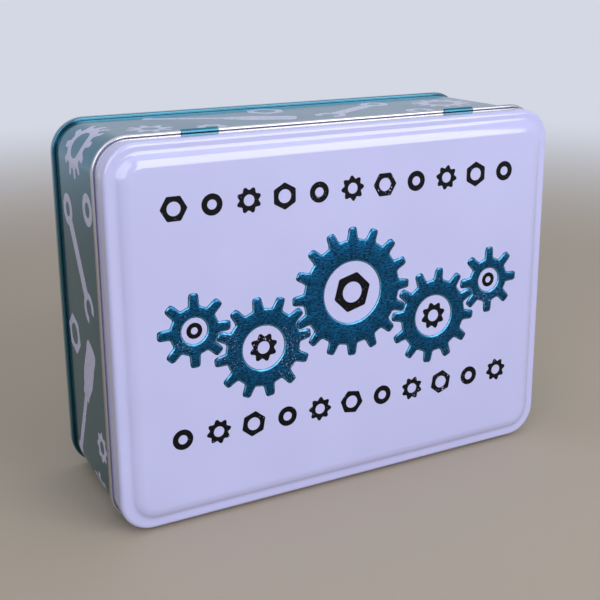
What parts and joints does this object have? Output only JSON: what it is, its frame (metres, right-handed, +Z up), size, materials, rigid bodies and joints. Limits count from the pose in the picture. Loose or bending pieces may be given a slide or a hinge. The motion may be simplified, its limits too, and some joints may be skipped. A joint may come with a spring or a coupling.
{
  "type": "hinged tin box",
  "caption": "Rounded rectangular sheet-metal box for papers and keepsakes, with a raised-panel lid on a rear wire hinge, a curled lid edge and a seamed base.",
  "frame": {"origin": "middle of the footprint, on the surface that the tin stands on", "axes": "+Z up; the tin stands on its long front wall with the hinge on top, X runs along the long side, and the lid looks towards -Y"},
  "size_m": [0.2026, 0.0724, 0.155],
  "materials": {
    "printed_wall": "dark teal metallic print with pale lilac-white motifs, bare tin inside",
    "base_lacquer": "plain dark teal metallic lacquer, bare tin inside",
    "lid_lacquer": "satin lilac-white lacquer, bare tin inside and on the curled edge",
    "wire_steel": "drawn steel wire"
  },
  "bodies": {
    "tin_body": {"body_wall": "printed_wall", "base_panel": "base_lacquer"},
    "lid": {"lid_shell": "lid_lacquer", "hinge_wire": "wire_steel"}
  },
  "joints": [
    {"name": "lid_hinge", "type": "hinge", "parent": "tin_body", "child": "lid", "pos_m": [0, -0.02315, 0.15384], "axis": [-1, 0, 0], "range_deg": [0, 110]}
  ]
}
